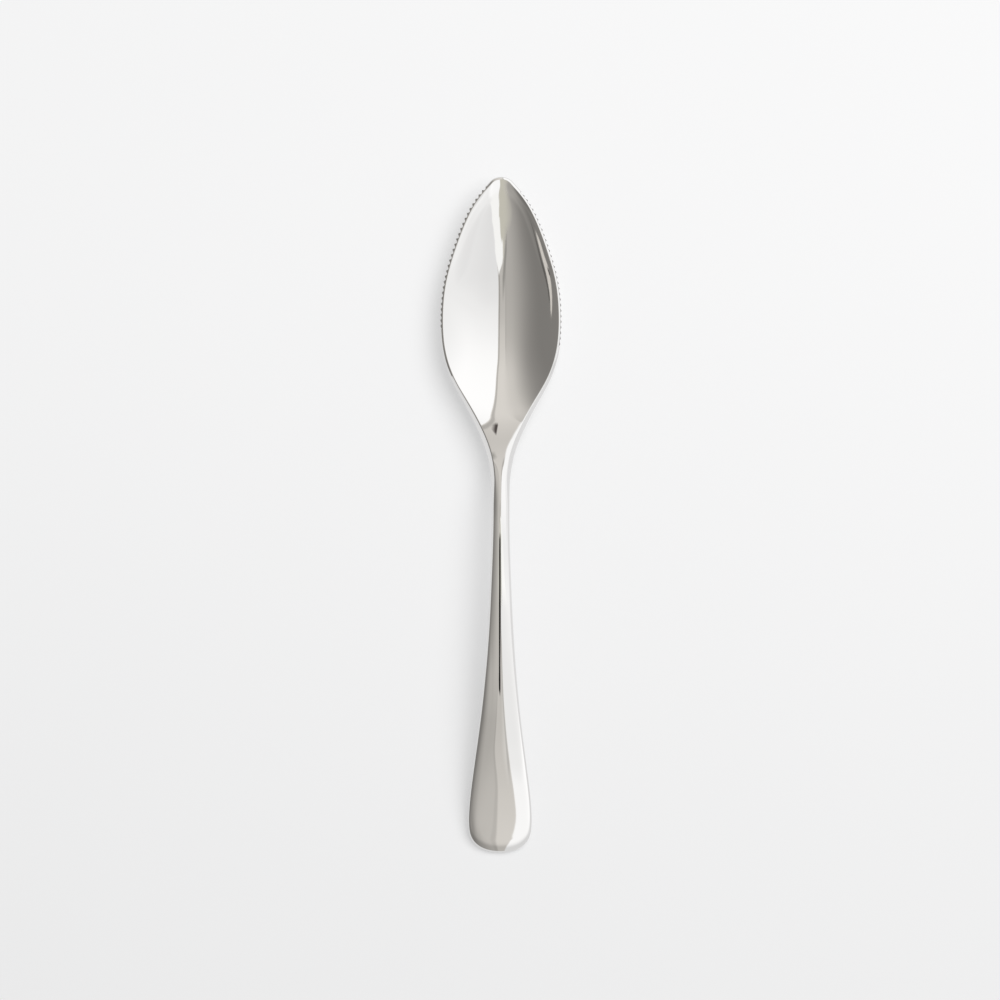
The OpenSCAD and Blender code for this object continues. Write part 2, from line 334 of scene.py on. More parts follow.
@dataclass(frozen=True)
class NodeDesk:
    """Adds nodes to a tree and joins them."""

    tree: bpy.types.NodeTree

    def add(self, kind: str, inputs: dict | None = None, **settings: object) -> bpy.types.Node:
        """Adds one node.

        Args:
            kind: type of the node.
            inputs: value or socket for inputs, by name or number.
            settings: the node's own settings.

        Returns:
            The node.
        """
        node = self.tree.nodes.new(kind)
        for name, setting in settings.items():
            setattr(node, name, setting)
        self.feed(node, inputs or {})
        return node

    def feed(self, node: bpy.types.Node, inputs: dict) -> None:
        """Gives a node's inputs their values or sockets.

        Args:
            node: the node.
            inputs: value or socket for inputs, by name or number.
        """
        for key, value in inputs.items():
            if isinstance(value, Socket):
                self.tree.links.new(value, node.inputs[key])
            else:
                node.inputs[key].default_value = value

    def calc(self, operation: str, *values: object) -> Socket:
        """Adds a maths node for numbers or sockets and gives its result."""
        return self.add("ShaderNodeMath", dict(enumerate(values)), operation=operation).outputs[0]

    def times(self, first: object, second: object) -> Socket:
        """Multiplies two numbers or sockets."""
        return self.calc("MULTIPLY", first, second)

    def less(self, first: object, second: object) -> Socket:
        """Takes the second number or socket from the first."""
        return self.calc("SUBTRACT", first, second)

    def vector(self, operation: str, inputs: dict) -> Socket:
        """Adds a vector maths node and gives its vector."""
        return self.add("ShaderNodeVectorMath", inputs, operation=operation).outputs["Vector"]

    def ramp(self, value: Socket, step: SoftStep) -> Socket:
        """Reads a soft step of a value.

        Args:
            value: the value read.
            step: the step's stretch and its two levels.

        Returns:
            The level.
        """
        inputs = {"Value": value, "From Min": step.start, "From Max": step.end}
        inputs |= {"To Min": step.low, "To Max": step.high}
        return self.add("ShaderNodeMapRange", inputs, interpolation_type="SMOOTHSTEP").outputs["Result"]

    def product(self, *steps: tuple[Socket, SoftStep]) -> Socket:
        """Multiplies soft steps.

        Args:
            steps: each step, after the value that it reads.

        Returns:
            The product of their levels.
        """
        result = self.ramp(*steps[0])
        for value, step in steps[1:]:
            result = self.times(result, self.ramp(value, step))
        return result

    def curve(self, value: Socket, points: Shares) -> Socket:
        """Reads a smooth curve at a value.

        Args:
            value: the value read.
            points: value and result, in rising order of value.

        Returns:
            The result.
        """
        start, end = points[0][0], points[-1][0]
        results = [result for _, result in points]
        low, high = min(results), max(results)
        share = self.add("ShaderNodeMapRange", {"Value": value, "From Min": start, "From Max": end}).outputs["Result"]
        node = self.add("ShaderNodeFloatCurve", {"Value": share})
        line = node.mapping.curves[0].points
        for _ in range(len(points) - len(line)):
            line.new(0.5, 0.5)
        for knot, (place, result) in zip(line, points):
            knot.location = ((place - start) / (end - start), (result - low) / (high - low))
        node.mapping.update()
        inputs = {"Value": node.outputs["Value"], "To Min": low, "To Max": high}
        return self.add("ShaderNodeMapRange", inputs).outputs["Result"]

    def blend(self, share: object, first: object, second: object, kind: str = "FLOAT") -> Socket:
        """Mixes two numbers, or colours of the kind RGBA, by a share of the second."""
        inputs = {"Factor": share, "A": first, "B": second}
        return self.add("ShaderNodeMix", inputs, data_type=kind).outputs["Result"]

    def noise(self, place: Socket, scale: float, detail: float, grain: float = 0.5) -> Socket:
        """Adds a noise over a place and gives its value."""
        inputs = {"Vector": place, "Scale": scale, "Detail": detail, "Roughness": grain}
        return self.add("ShaderNodeTexNoise", inputs).outputs["Fac"]


@dataclass(frozen=True)
class PolishedSteel:
    """Mirror-polished stainless steel, with faint lines from the polishing wheel, and a rougher grind in the teeth
    whose colour is darkened as painted shade.
    """

    colour: Rgb = (0.776, 0.77, 0.763)
    # Colour of the grind in the teeth and on the rim's outer strip, darkened well below the real steel's colour as
    # painted shade.
    grind_and_shade_colour: Rgb = (0.32, 0.31, 0.3)
    ground_roughness: float = 0.34
    cloud_scale: float = 38.0
    cloud_detail: float = 3.0
    cloud_dark_share: float = 0.985
    clouds: SoftStep = SoftStep(0.3, 0.7)
    line_scale: Spot = (9000.0, 260.0, 9000.0)
    line_detail: float = 4.0
    line_grain: float = 0.6
    line_roughness: SoftStep = SoftStep(0.35, 0.75, 0.028, 0.0525)
    line_depth: float = 0.03
    line_height: float = 2e-6

    def material(self) -> Material:
        """Builds the material on object coordinates.

        Returns:
            The steel's material.
        """
        made = bpy.data.materials.new("polished_steel")
        made.use_nodes = True
        desk = NodeDesk(made.node_tree)
        place = desk.add("ShaderNodeTexCoord").outputs["Object"]
        # Mask of the rougher grind, which also darkens the colour there as painted shade.
        grind_and_shade = desk.add("ShaderNodeAttribute", attribute_name="grind_and_shade").outputs["Fac"]

        cloud = desk.ramp(desk.noise(place, self.cloud_scale, self.cloud_detail), self.clouds)
        dark = [part * self.cloud_dark_share for part in self.colour]
        clouded = desk.blend(cloud, (*dark, 1), (*self.colour, 1), "RGBA")
        along = desk.vector("MULTIPLY", {0: place, 1: self.line_scale})
        lines = desk.noise(along, 1.0, self.line_detail, self.line_grain)
        inputs = {"Height": lines, "Strength": self.line_depth, "Distance": self.line_height}
        desk.feed(made.node_tree.nodes["Principled BSDF"], {
            "Metallic": 1.0,
            "Base Color": desk.blend(grind_and_shade, clouded, (*self.grind_and_shade_colour, 1), "RGBA"),
            "Roughness": desk.blend(grind_and_shade, desk.ramp(lines, self.line_roughness), self.ground_roughness),
            "Normal": desk.add("ShaderNodeBump", inputs).outputs["Normal"],
        })
        return made


@dataclass(frozen=True)
class Serration:
    """The ground teeth along both sides of the bowl's rim. Lengths are in millimetres."""

    pitch: float = 1.4
    depth: float = 0.44
    land: float = 0.2
    lean: float = 10.0
    skew: float = 0.35
    last_depth_share: float = 0.6
    fade_from: float = 20.0
    left_start: float = 2.8
    left_end: float = 37.6
    right_start: float = 4.1
    right_end: float = 42.4
    rim_soft: float = 0.05
    wall_soft: SoftStep = SoftStep(-0.02, 0.04)
    # Width of the rim's outer strip beside the teeth, which gets the rougher grind and a colour darkened as painted
    # shade.
    grind_and_shade_strip: float = 0.31
    strip_soft: SoftStep = SoftStep(-0.03, 0.03)

    def places(self, form: SpoonForm, side: Side) -> Array:
        """Places of the hollows, one pitch apart along the rim.

        Args:
            form: shape of the spoon.
            side: side of the rim.

        Returns:
            Distances from the tip.
        """
        start, end = (self.left_start, self.left_end) if side is Side.LEFT else (self.right_start, self.right_end)
        found = [start]
        while True:
            step = self.pitch * form.facing(np.array([found[-1]]))[0, 1]
            if found[-1] + step > end:
                return np.array(found)
            found.append(found[-1] + step)

    def counts(self, form: SpoonForm, side: Side, s: Array) -> Array:
        """Number of hollows passed at s, with its share between two of them.

        Args:
            form: shape of the spoon.
            side: side of the rim.
            s: distances from the tip.

        Returns:
            The count, which is whole in the middle of each hollow, and far below zero outside the teeth.
        """
        places = self.places(form, side)
        ends = np.concatenate([[2 * places[0] - places[1]], places, [2 * places[-1] - places[-2]]])
        return np.interp(s, ends, np.arange(-1, len(places) + 1), left=NO_TOOTH, right=NO_TOOTH)

    def depth_shares(self, s: Array, side: Side) -> Array:
        """Share of the full depth at s: whole near the tip, least at the last hollow."""
        end = self.left_end if side is Side.LEFT else self.right_end
        return 1 - (1 - self.last_depth_share) * np.clip((s - self.fade_from) / (end - self.fade_from), 0, 1)

    def tree(self) -> bpy.types.NodeTree:
        """Builds the tree that draws the rim's points in to the hollows' walls.

        Returns:
            The node group, with its sizes as named inputs.
        """
        tree = bpy.data.node_groups.new("rim_serration", "GeometryNodeTree")
        tree.interface.new_socket("Geometry", in_out="INPUT", socket_type="NodeSocketGeometry")
        for name in ("Pitch", "Depth", "Land", "Lean", "Skew", "Rim softness", "Grind and shade strip"):
            tree.interface.new_socket(name, in_out="INPUT", socket_type="NodeSocketFloat")
        tree.interface.new_socket("Steel", in_out="INPUT", socket_type="NodeSocketMaterial")
        tree.interface.new_socket("Geometry", in_out="OUTPUT", socket_type="NodeSocketGeometry")
        desk = NodeDesk(tree)
        given = desk.add("NodeGroupInput").outputs

        def named(name: str, kind: str = "FLOAT") -> Socket:
            """Reads a named attribute of the rim."""
            return desk.add("GeometryNodeInputNamedAttribute", {"Name": name}, data_type=kind).outputs["Attribute"]

        names = ("count", "depth", "side", "inset", "height")
        count, depth_share, side, inset, height = (named(f"rim_{name}") for name in names)

        # Each hollow is part of a round cutter, whose middle stands outside the rim.
        depth = desk.times(given["Depth"], depth_share)
        half_chord = desk.times(desk.less(given["Pitch"], given["Land"]), 0.5)
        squares = desk.calc("ADD", desk.calc("POWER", half_chord, 2.0), desk.calc("POWER", depth, 2.0))
        radius = desk.calc("DIVIDE", squares, desk.times(depth, 2.0))
        centre = desk.less(radius, depth)
        # How far past the middle of its own hollow a point stands, from -0.5 to 0.5 of a pitch.
        turned = desk.less(desk.calc("FRACT", desk.calc("ADD", count, 0.5 - 2 * NO_TOOTH)), 0.5)
        along = desk.times(turned, given["Pitch"])

        def round_wall(place: Socket) -> Socket:
            """Reads how far in the round wall of the hollow stands at a place along the rim."""
            rest = desk.less(desk.calc("POWER", radius, 2.0), desk.calc("POWER", place, 2.0))
            return desk.less(desk.calc("SQRT", desk.calc("MAXIMUM", rest, 0.0)), centre)

        pushed = desk.times(desk.times(round_wall(along), given["Skew"]), side)
        hollow = round_wall(desk.calc("ADD", along, pushed))
        leaned = desk.less(hollow, desk.times(height, desk.calc("TANGENT", given["Lean"])))
        inside = desk.calc("GREATER_THAN", count, -0.5)
        wanted = desk.calc("SMOOTH_MAX", inset, leaned, given["Rim softness"])
        move = desk.times(desk.less(inset, wanted), inside)
        shift = desk.vector("SCALE", {0: named("rim_out", "FLOAT_VECTOR"), "Scale": move})
        # Marks the hollows' walls and the rim's outer strip, where the steel gets a rougher grind and a colour
        # darkened as painted shade.
        wall = desk.ramp(desk.times(desk.less(leaned, inset), 1 / MM), self.wall_soft)
        strip = desk.ramp(desk.times(desk.less(given["Grind and shade strip"], inset), 1 / MM), self.strip_soft)
        grind_and_shade = desk.times(desk.calc("MAXIMUM", wall, strip), inside)

        flow = given["Geometry"]
        for kind, inputs in (
            ("GeometryNodeStoreNamedAttribute", {"Name": "grind_and_shade", "Value": grind_and_shade}),
            ("GeometryNodeSetPosition", {"Offset": shift}),
            ("GeometryNodeRealizeInstances", {}),
            ("GeometryNodeSetMaterial", {"Material": given["Steel"]}),
        ):
            flow = desk.add(kind, {"Geometry": flow, **inputs}).outputs["Geometry"]
        desk.add("NodeGroupOutput", {"Geometry": flow})
        return tree

    def cut(self, piece: Piece, steel: Material) -> None:
        """Cuts the teeth into a piece and leaves it a plain mesh.

        Args:
            piece: the spoon, with the rim's attributes on its points.
            steel: material that the result wears.
        """
        tree = self.tree()
        modifier = piece.modifiers.new("serration", "NODES")
        modifier.node_group = tree
        lengths = {"Pitch": self.pitch, "Depth": self.depth, "Land": self.land}
        lengths |= {"Rim softness": self.rim_soft, "Grind and shade strip": self.grind_and_shade_strip}
        values = {name: length * MM for name, length in lengths.items()}
        values |= {"Lean": math.radians(self.lean), "Skew": self.skew, "Steel": steel}
        for item in tree.interface.items_tree:
            if item.in_out == "INPUT" and item.name in values:
                modifier[item.identifier] = values[item.name]
        depsgraph = bpy.context.evaluated_depsgraph_get()
        mesh = bpy.data.meshes.new_from_object(piece.evaluated_get(depsgraph), depsgraph=depsgraph)
        piece.modifiers.remove(modifier)
        piece.data = mesh


@dataclass(frozen=True)
class ForgedSpoon:
    """The spoon itself: one polished piece, from the tip of the bowl to the end of the handle."""

    form: SpoonForm = SpoonForm()
    teeth: Serration = Serration()
    finish: PolishedSteel = PolishedSteel()
    across: int = 18
    across_bias: float = 1.5
    around: int = 14
    tip_rings: int = 36
    tooth_step: float = 0.075
    before_teeth: float = 0.6
    past_teeth: float = 1.2
    heel_step: float = 0.4
    heel_past_bowl: float = 8.0
    handle_step: float = 0.6
    end_l: float = 5.0
    end_rings: int = 30

    def _ring_places(self) -> Array:
        """Places of the rings: close together at the teeth and at both ends.

        Returns:
            Distances from the tip.
        """
        teeth_from, teeth_to = self.teeth.left_start - self.before_teeth, self.teeth.right_end + self.past_teeth
        heel_to, end_from = self.form.bowl_l + self.heel_past_bowl, self.form.length - self.end_l
        parts = [teeth_from * (1 - np.cos(np.linspace(0, math.pi / 2, self.tip_rings)))]
        for start, end, step in (
            (teeth_from, teeth_to, self.tooth_step),
            (teeth_to, heel_to, self.heel_step),
            (heel_to, end_from, self.handle_step),
        ):
            parts.append(np.linspace(start, end, round((end - start) / step) + 1)[1:])
        end = end_from + (self.form.length - end_from) * np.sin(np.linspace(0, math.pi / 2, self.end_rings))
        return np.concatenate([*parts, end[1:]])

    def _half_rings(self, s: Array) -> tuple[Array, Array]:
        """Points of the half rings, along the face, round the edge and along the back.

        Args:
            s: places of the rings.

        Returns:
            Points [ring, step, (s, x, z)] and how far each stands in from the outline [ring, step].
        """
        form = self.form
        out = form.facing(s)
        outline = np.stack([s, form.half_width(s)], -1)
        edge = form.edge_reach.value(s)[:, None]
        inner = outline - edge * out
        start = np.stack([form.ring_start(s), np.zeros_like(s)], -1)
        shares = 1 - (1 - np.arange(self.across + 1) / self.across) ** self.across_bias
        flat = start[:, None] + (inner - start)[:, None] * shares[None, :, None]
        inset = np.linalg.norm(flat - inner[:, None], axis=-1) + edge
        heights = (height(flat[..., 0], flat[..., 1])[..., None] for height in (form.face_z, form.back_z))
        face, back = (np.concatenate([flat, z], -1) for z in heights)
        t = (np.arange(1, self.around) / self.around)[None, :]
        above, high, low, below = (h[:, None] for h in form.edge_heights(s))
        reach = 3 * t * (1 - t) * ARC_REACH * edge
        round_z = (1 - t) ** 3 * above + 3 * t * (1 - t) ** 2 * high + 3 * t ** 2 * (1 - t) * low + t ** 3 * below
        band = np.concatenate([inner[:, None] + reach[..., None] * out[:, None], round_z[..., None]], -1)
        band_inset = edge - reach
        points = np.concatenate([face, band, back[:, ::-1]], 1)
        return points, np.concatenate([inset, band_inset, inset[:, ::-1]], 1)

    @staticmethod
    def _faces(rings: int, half: int) -> tuple[Array, Array]:
        """Joins the rings. Both ends of the spoon are rings folded flat, whose halves share their points.

        Args:
            rings: number of rings.
            half: number of steps round one half ring.

        Returns:
            Numbers of the points in use, and the faces' corners, counted among those.
        """
        numbers = np.arange(rings * 2 * half).reshape(rings, 2 * half)
        for end in (0, -1):
            numbers[end, half + 1:] = numbers[end, half - 1:0:-1]
        turned = np.roll(numbers, -1, axis=1)
        quads = np.stack([numbers[:-1], turned[:-1], turned[1:], numbers[1:]], -1).reshape(-1, 4)
        used, quads = np.unique(quads, return_inverse=True)
        return used, quads.reshape(-1, 4)

    def build(self) -> Piece:
        """Builds the spoon's skin, cuts its teeth and dresses it.

        Returns:
            The finished object, at the origin.
        """
        form = self.form
        s = self._ring_places()
        half = 2 * self.across + self.around
        points, inset = self._half_rings(s)
        lowest = points[..., 2].min()
        above, high, low, below = form.edge_heights(s)
        middle = (above + 3 * high + 3 * low + below) / 8
        steps = np.concatenate([np.arange(half + 1), np.arange(half - 1, 0, -1)])
        sides = np.concatenate([np.ones(half + 1), -np.ones(half - 1)])[None]
        chosen = points[:, steps]
        along, x, z = chosen[..., 0], chosen[..., 1], chosen[..., 2]
        place = np.stack([sides * x, form.length / 2 - along, z - lowest], -1) * MM
        out = form.facing(s)
        facing = np.stack([sides * out[:, None, 1], np.repeat(-out[:, :1], 2 * half, 1), np.zeros(x.shape)], -1)
        counts = {side: self.teeth.counts(form, side, s)[:, None] for side in Side}
        depths = {side: self.teeth.depth_shares(s, side)[:, None] for side in Side}
        values = {
            "rim_count": np.where(sides > 0, counts[Side.RIGHT], counts[Side.LEFT]),
            "rim_depth": np.where(sides > 0, depths[Side.RIGHT], depths[Side.LEFT]),
            "rim_side": np.broadcast_to(sides, x.shape),
            "rim_inset": inset[:, steps] * MM,
            "rim_height": (z - middle[:, None]) * MM,
        }
        used, quads = self._faces(len(s), half)

        mesh = bpy.data.meshes.new("forged_spoon")
        mesh.from_pydata(place.reshape(-1, 3)[used].tolist(), [], quads.tolist(), shade_flat=False)
        for name, value in values.items():
            made = mesh.attributes.new(name, "FLOAT", "POINT")
            made.data.foreach_set("value", value.reshape(-1)[used].astype(np.float32))
        made = mesh.attributes.new("rim_out", "FLOAT_VECTOR", "POINT")
        made.data.foreach_set("vector", facing.reshape(-1, 3)[used].astype(np.float32).reshape(-1))
        mesh.validate()
        piece = put("forged_spoon", mesh)
        self.teeth.cut(piece, self.finish.material())
        for name in (*values, "rim_out"):
            piece.data.attributes.remove(piece.data.attributes[name])
        return piece


@dataclass(frozen=True)
class PaleTable:
    """The plain pale surface under the spoon."""

    half_side: float = 1.6
    colour: Rgb = (0.9, 0.9, 0.905)
    roughness: float = 0.85
    gloss: float = 0.1
    cloud_scale: float = 14.0
    cloud_detail: float = 5.0
    cloud_share: float = 0.01
    shown_share: float = 0.5
    # Level of the shown glow, painted brighter towards the back as painted light falloff.
    painted_falloff_tone: SoftStep = SoftStep(-0.15, 0.1, 0.85, 0.945)

    def build(self) -> Piece:
        """Builds the table.

        Returns:
            The stage object.
        """
        mesh = bpy.data.meshes.new("pale_table")
        corners = [(x * self.half_side, y * self.half_side, 0.0) for x, y in ((-1, -1), (1, -1), (1, 1), (-1, 1))]
        mesh.from_pydata(corners, [], [(0, 1, 2, 3)])
        mesh.materials.append(self._material())
        table = put("pale_table", mesh)
        table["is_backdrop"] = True
        return table

    def _material(self) -> Material:
        """Builds matt painted board, whose glow seen by camera and mirrors is painted brighter towards the back as
        painted light falloff.

        Returns:
            The table's material.
        """
        made = bpy.data.materials.new("pale_board")
        made.use_nodes = True
        desk = NodeDesk(made.node_tree)
        shader = made.node_tree.nodes["Principled BSDF"]
        place = desk.add("ShaderNodeTexCoord").outputs["Object"]
        cloud = desk.noise(place, self.cloud_scale, self.cloud_detail)
        shares = (1 - self.cloud_share, 1 + self.cloud_share)
        dark, light = ([part * share for part in self.colour] for share in shares)
        colour = desk.blend(cloud, (*dark, 1), (*light, 1), "RGBA")
        desk.feed(shader, {"Base Color": colour, "Roughness": self.roughness, "Specular IOR Level": self.gloss})
        # The shown glow is painted brighter towards the back, as painted light falloff.
        depth = desk.add("ShaderNodeSeparateXYZ", {"Vector": place}).outputs["Y"]
        board = desk.add("ShaderNodeEmission", {"Strength": desk.ramp(depth, self.painted_falloff_tone)})
        seen = desk.add("ShaderNodeLightPath").outputs
        mirrored = desk.calc("MAXIMUM", seen["Is Glossy Ray"], seen["Is Transmission Ray"])
        share = desk.times(desk.calc("MAXIMUM", seen["Is Camera Ray"], mirrored), self.shown_share)
        mixed = desk.add("ShaderNodeMixShader", {0: share, 1: shader.outputs["BSDF"], 2: board.outputs["Emission"]})
        desk.feed(made.node_tree.nodes["Material Output"], {"Surface": mixed.outputs["Shader"]})
        return made


def only_reflected(card: Piece) -> None:
    """Args:
        card: the card's object.
    """
    for rays in ("camera", "diffuse", "shadow", "transmission", "volume_scatter"):
        setattr(card, f"visible_{rays}", False)
    card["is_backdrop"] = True


@dataclass(frozen=True)
class LightTent:
    """The studio as the polished steel sees it: white panels, a grey roof and a dark side.

    Each table reads a tone, or the place of a border, against degrees from upright, to the right or to the back.
    """

    radius: float = 0.6
    segments: int = 64
    rings: int = 24
    left_tones: Shares = (
        (-90, 0.27), (-75, 0.25), (-62, 0.245), (-52, 0.275), (-43, 0.33), (-34, 0.4), (-25, 0.465), (-17, 0.51),
        (-8, 0.525),
    )
    roof_tones: Shares = (
        (-60, 0.8), (-48, 0.79), (-38, 0.7), (-20, 0.63), (-2, 0.61), (10, 0.71), (25, 0.775), (45, 0.835),
        (60, 0.84),
    )
    right_tones: Shares = (
        (-62, 1.2), (-50, 1.22), (-42, 1.2), (-38, 1.09), (-34, 0.99), (-28, 0.955), (-12, 0.95), (-4, 0.985),
        (4, 1.085), (12, 1.16), (20, 1.21), (28, 1.24), (40, 1.265), (54, 1.285), (90, 1.29),
    )
    border_places: Shares = (
        (-62, 3.2), (-54, 3.6), (-50.5, 4.1), (-48, 5.3), (-46, 6.6), (-44, 7.9), (-42, 8.8), (-38, 9.8), (-30, 10.5),
        (-20, 9.7), (-10, 8.2), (-2, 4.4), (5, 4.7), (20, 5.1), (28, 5.3), (40, 6.6), (52, 7.3), (90, 7),
    )
    grey_tint: Rgb = (1.04, 1.0, 0.94)
    # Each lift works over degrees to the back, and then over degrees to the right.
    lifts: tuple[tuple[SoftStep, SoftStep], ...] = (
        (SoftStep(-10, 50), SoftStep(-46, -10, 0, 0.44)),
        (SoftStep(-46, -30, 1, 0), SoftStep(-26, -7, -0.04, 0.22)),
        (SoftStep(-52, -43, -0.2, 0), SoftStep(-12, -3, 1, 0)),
        (SoftStep(-56, -44, 1, 0), SoftStep(-46, -28, 0.35, 0)),
    )
    roof_place: SoftStep = SoftStep(-42, -31, -1.4, -7.4)
    roof_spread: SoftStep = SoftStep(24, 54, 0.6, 6)
    # A dark line rises and falls over degrees past a border, and has its reach over degrees to the back.
    seam: tuple[SoftStep, ...] = (SoftStep(-2.6, -1), SoftStep(-0.4, 0.6, 1, 0), SoftStep(16, 26, 1, 0))
    seam_tone: float = 0.92
    rail: tuple[SoftStep, ...] = (SoftStep(-3.6, -2), SoftStep(-1.2, -0.2, 1, 0), SoftStep(-42, -34))
    rail_tone: float = 0.7
    grey_foot: SoftStep = SoftStep(-66, -52, 0.7, 1)
    white_lift: tuple[SoftStep, SoftStep] = (SoftStep(20, 60, 0, 0.07), SoftStep(-2, 6, 1, 0))
    far_side: SoftStep = SoftStep(48, 86)
    far_side_tone: float = 1.1
    white_foot: SoftStep = SoftStep(-72, -54, 0.7, 1)
    white_border: SoftStep = SoftStep(-0.3, 0.3)

    def build(self) -> Piece:
        """Builds the tent, which only reflections see.

        Returns:
            The stage object.
        """
        points = [(0.0, 0.0, self.radius)]
        for up in np.linspace(math.pi / 2, 0, self.rings + 1)[1:]:
            flat, z = self.radius * math.cos(up), self.radius * math.sin(up)
            turns = (2 * math.pi * i / self.segments for i in range(self.segments))
            points += [(flat * math.cos(turn), flat * math.sin(turn), z) for turn in turns]
        faces: list[tuple[int, ...]] = []
        for i in range(self.segments):
            after = (i + 1) % self.segments
            faces.append((0, 1 + i, 1 + after))
            for ring in range(self.rings - 1):
                a, b = 1 + ring * self.segments, 1 + (ring + 1) * self.segments
                faces.append((a + i, b + i, b + after, a + after))
        mesh = bpy.data.meshes.new("light_tent")
        mesh.from_pydata(points, [], faces, shade_flat=False)
        mesh.materials.append(self._material())
        tent = put("light_tent", mesh)
        only_reflected(tent)
        return tent

    def _grey(self, desk: NodeDesk, aside: Socket, ahead: Socket, past_border: Socket) -> Socket:
        """Paints the dark left side and the grey roof, with a seam between them and a dark rail at their border.

        Args:
            desk: desk of the tent's material.
            aside: degrees to the right.
            ahead: degrees to the back.
            past_border: degrees past the border of the white panels.

        Returns:
            The tone.
        """
        lifted: object = 1.0
        for rise, reach in self.lifts:
            lifted = desk.calc("ADD", desk.product((ahead, rise), (aside, reach)), lifted)
        left = desk.times(desk.curve(aside, self.left_tones), lifted)
        past_roof = desk.less(aside, desk.ramp(ahead, self.roof_place))
        spread = desk.calc("DIVIDE", past_roof, desk.ramp(ahead, self.roof_spread))
        grey = desk.blend(desk.ramp(spread, SoftStep(-1, 1)), left, desk.curve(ahead, self.roof_tones))
        for past, line, tone in ((past_roof, self.seam, self.seam_tone), (past_border, self.rail, self.rail_tone)):
            shade = desk.product((past, line[0]), (past, line[1]), (ahead, line[2]))
            grey = desk.times(grey, desk.ramp(shade, SoftStep(0, 1, 1, tone)))
        return desk.times(grey, desk.ramp(ahead, self.grey_foot))

    def _material(self) -> Material:
        """Paints the tent's panels by where they stand.

        Returns:
            The tent's material.
        """
        made = bpy.data.materials.new("tent_light")
        made.use_nodes = True
        made.node_tree.nodes.clear()
        desk = NodeDesk(made.node_tree)
        ray = desk.vector("NORMALIZE", {0: desk.add("ShaderNodeTexCoord").outputs["Object"]})
        parts = desk.add("ShaderNodeSeparateXYZ", {"Vector": ray}).outputs
        aside = desk.calc("DEGREES", desk.calc("ARCSINE", parts["X"]))
        ahead = desk.calc("DEGREES", desk.calc("ARCTAN2", parts["Y"], parts["Z"]))
        past_border = desk.less(aside, desk.curve(ahead, self.border_places))
        side, front = self.white_lift
        lifted = desk.calc("ADD", desk.product((aside, side), (ahead, front)), 1.0)
        white = desk.times(desk.curve(ahead, self.right_tones), lifted)
        white = desk.blend(desk.ramp(aside, self.far_side), white, self.far_side_tone)
        white = desk.times(white, desk.ramp(ahead, self.white_foot))
        share = desk.ramp(past_border, self.white_border)
        level = desk.blend(share, self._grey(desk, aside, ahead, past_border), white)
        tint = desk.blend(share, (*self.grey_tint, 1), (*Tint.WHITE.value, 1), "RGBA")
        light = desk.add("ShaderNodeEmission", {"Color": tint, "Strength": level})
        desk.add("ShaderNodeOutputMaterial", {"Surface": light.outputs["Emission"]})
        made.cycles.emission_sampling = "NONE"
        return made


class Tint(Enum):
    """Colours of the cards."""

    WHITE = (1.0, 1.0, 1.0)
    COOL_WHITE = (1.0, 1.0, 0.99)
    WARM_WHITE = (1.0, 1.0, 0.985)
    OLIVE = (1.03, 1.0, 0.87)
    PALE_SAND = (1.03, 1.0, 0.94)
    SAND = (1.03, 1.0, 0.93)
    WARM_SAND = (1.05, 1.0, 0.93)
    PLUM = (1.0, 0.95, 0.95)
    DARK_PLUM = (1.0, 0.85, 0.8)


@dataclass(frozen=True)
class SoftCard:
    """A small card that hangs over the spoon and is seen in reflections alone.

    Each row gives its place along the spoon, and from left to right where the card starts to show, where it is
    whole, where it starts to fade and where it ends. The first and the last row are clear. All are in millimetres.
    """

    name: str
    height: float
    rows: tuple[tuple[float, ...], ...]
    tint: Tint
    level: float
    cover: float = 1.0
    slope: float = 0.0
    slope_from: float = 0.0

    def build(self) -> Piece:
        """Builds the card, whose borders fade out.

        Returns:
            The stage object.
        """
        points: list[Spot] = []
        cover: list[float] = []
        for number, (y, *places) in enumerate(self.rows):
            whole = 0.0 if number in (0, len(self.rows) - 1) else self.cover
            z = self.height - self.slope * max(0.0, self.slope_from - y)
            points += [(x * MM, y * MM, z * MM) for x in places]
            cover += [0.0, whole, whole, 0.0]
        firsts = [row * 4 + column for row in range(len(self.rows) - 1) for column in range(3)]
        mesh = bpy.data.meshes.new(self.name)
        mesh.from_pydata(points, [], [(first, first + 1, first + 5, first + 4) for first in firsts])
        made = mesh.attributes.new("cover", "FLOAT", "POINT")
        made.data.foreach_set("value", cover)
        mesh.materials.append(self._material())
        card = put(self.name, mesh)
        only_reflected(card)
        return card

    def _material(self) -> Material:
        """Builds the card's even tone, clear where its cover ends.

        Returns:
            The card's material.
        """
        made = bpy.data.materials.new(self.name)
        made.use_nodes = True
        made.node_tree.nodes.clear()
        desk = NodeDesk(made.node_tree)
        cover = desk.add("ShaderNodeAttribute", attribute_name="cover").outputs["Fac"]
        light = desk.add("ShaderNodeEmission", {"Color": (*self.tint.value, 1), "Strength": self.level})
        clear = desk.add("ShaderNodeBsdfTransparent")
        mixed = desk.add("ShaderNodeMixShader", {0: cover, 1: clear.outputs["BSDF"], 2: light.outputs["Emission"]})
        desk.add("ShaderNodeOutputMaterial", {"Surface": mixed.outputs["Shader"]})
        made.cycles.emission_sampling = "NONE"
        return made


